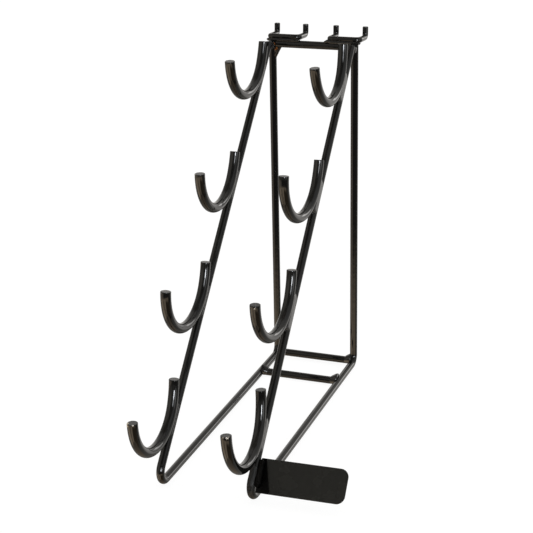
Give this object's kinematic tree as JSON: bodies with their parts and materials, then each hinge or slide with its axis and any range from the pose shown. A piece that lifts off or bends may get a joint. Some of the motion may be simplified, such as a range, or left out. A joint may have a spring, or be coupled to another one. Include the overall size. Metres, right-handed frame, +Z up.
{
  "type": "wall rack",
  "caption": "Welded steel-rod wall rack: two triangular side frames carry upward-opening J hooks on sloping front legs, with wire pegboard clips at the top and a small blank sign plate.",
  "frame": {"origin": "on the pegboard's front face, midway between the side frames, at the height of the row of holes that the clips go through", "axes": "+X to the right for a person facing the rack, -Y out from the wall, +Z up"},
  "size_m": [0.1464, 0.3252, 0.2985],
  "materials": {
    "frame_paint": "gloss black paint on round steel bar",
    "hook_paint": "gloss black paint on round steel bar",
    "clip_paint": "gloss black paint on steel wire",
    "plate_paint": "satin black paint on sheet steel",
    "weld_paint": "gloss black paint over weld beads"
  },
  "bodies": {
    "root": {"left_side_frame": "frame_paint", "right_side_frame": "frame_paint", "top_bar": "frame_paint", "rear_cross_rod": "frame_paint", "front_cross_rod": "frame_paint", "left_hook_1": "hook_paint", "left_hook_2": "hook_paint", "left_hook_3": "hook_paint", "left_hook_4": "hook_paint", "right_hook_1": "hook_paint", "right_hook_2": "hook_paint", "right_hook_3": "hook_paint", "right_hook_4": "hook_paint", "left_peg_clip": "clip_paint", "right_peg_clip": "clip_paint", "sign_plate": "plate_paint", "left_hook_1_weld": "weld_paint", "left_hook_2_weld": "weld_paint", "left_hook_3_weld": "weld_paint", "left_hook_4_weld": "weld_paint", "right_hook_1_weld": "weld_paint", "right_hook_2_weld": "weld_paint", "right_hook_3_weld": "weld_paint", "right_hook_4_weld": "weld_paint", "left_rear_cross_rod_weld": "weld_paint", "left_front_cross_rod_weld": "weld_paint", "left_top_corner_weld": "weld_paint", "left_head_weld": "weld_paint", "left_clip_front_weld": "weld_paint", "left_clip_rear_weld": "weld_paint", "right_rear_cross_rod_weld": "weld_paint", "right_front_cross_rod_weld": "weld_paint", "right_top_corner_weld": "weld_paint", "right_head_weld": "weld_paint", "right_clip_front_weld": "weld_paint", "right_clip_rear_weld": "weld_paint", "sign_plate_weld": "weld_paint"}
  },
  "joints": []
}
